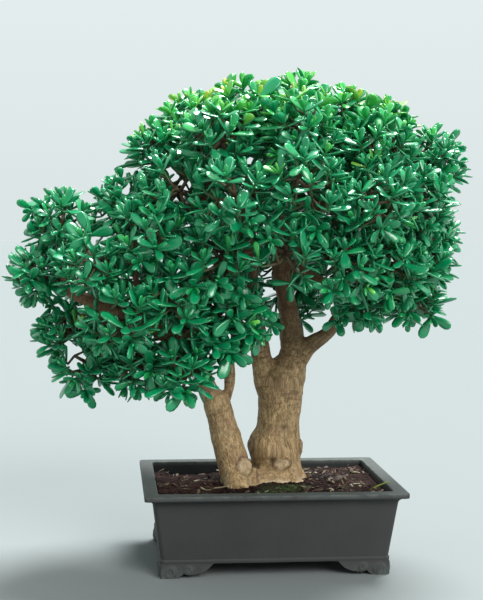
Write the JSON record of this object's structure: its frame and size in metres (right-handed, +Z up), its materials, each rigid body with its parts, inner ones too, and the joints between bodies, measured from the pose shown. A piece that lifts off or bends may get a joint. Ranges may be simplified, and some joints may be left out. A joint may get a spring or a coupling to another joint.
{
  "type": "jade plant bonsai in a pot",
  "caption": "Two-trunked jade plant bonsai with a broad domed crown of thick glossy leaves, in a rectangular unglazed clay pot on cloud-scroll feet.",
  "frame": {"origin": "centre of the bounding box's bottom face, on the surface that the pot's feet stand on", "axes": "+Z up; +X to the right, along the long side of the pot, as seen from the front; the front of the pot faces -Y"},
  "size_m": [0.8994, 0.625, 0.9648],
  "materials": {
    "clay": "unglazed, fine matt, paler on the worn edges",
    "screen": "moulded mesh",
    "soil": "crumbly, dark, damp",
    "bark": "finely ridged tan bark",
    "leaf": "thick, smooth and glossy, young ones yellow-green"
  },
  "bodies": {
    "root": {"drain_screen_left": "screen", "drain_screen_right": "screen", "leafy_stem_01": "leaf", "leafy_stem_02": "leaf", "leafy_stem_03": "leaf", "leafy_stem_04": "leaf", "leafy_stem_05": "leaf", "leafy_stem_06": "leaf", "leafy_stem_07": "leaf", "leafy_stem_08": "leaf", "leafy_stem_09": "leaf", "leafy_stem_10": "leaf", "leafy_stem_11": "leaf", "leafy_stem_12": "leaf", "leafy_stem_13": "leaf", "leafy_stem_14": "leaf", "leafy_stem_15": "leaf", "leafy_stem_16": "leaf", "leafy_stem_17": "leaf", "leafy_stem_18": "leaf", "leafy_stem_19": "leaf", "leafy_stem_20": "leaf", "leafy_stem_21": "leaf", "leafy_stem_22": "leaf", "leafy_stem_23": "leaf", "leafy_stem_24": "leaf", "leafy_stem_25": "leaf", "leafy_stem_26": "leaf", "leafy_stem_27": "leaf", "leafy_stem_28": "leaf", "leafy_stem_29": "leaf", "leafy_stem_30": "leaf", "leafy_stem_31": "leaf", "leafy_stem_32": "leaf", "leafy_stem_33": "leaf", "leafy_stem_34": "leaf", "leafy_stem_35": "leaf", "leafy_stem_36": "leaf", "leafy_stem_37": "leaf", "leafy_stem_38": "leaf", "leafy_stem_39": "leaf", "leafy_stem_40": "leaf", "leafy_stem_41": "leaf", "leafy_stem_42": "leaf", "leafy_stem_43": "leaf", "leafy_stem_44": "leaf", "leafy_stem_45": "leaf", "leafy_stem_46": "leaf", "leafy_stem_47": "leaf", "leafy_stem_48": "leaf", "leafy_stem_49": "leaf", "leafy_stem_50": "leaf", "leafy_stem_51": "leaf", "leafy_stem_52": "leaf", "leafy_stem_53": "leaf", "leafy_stem_54": "leaf", "leafy_stem_55": "leaf", "pot": "clay", "soil": "soil", "trunk": "bark"}
  },
  "joints": []
}
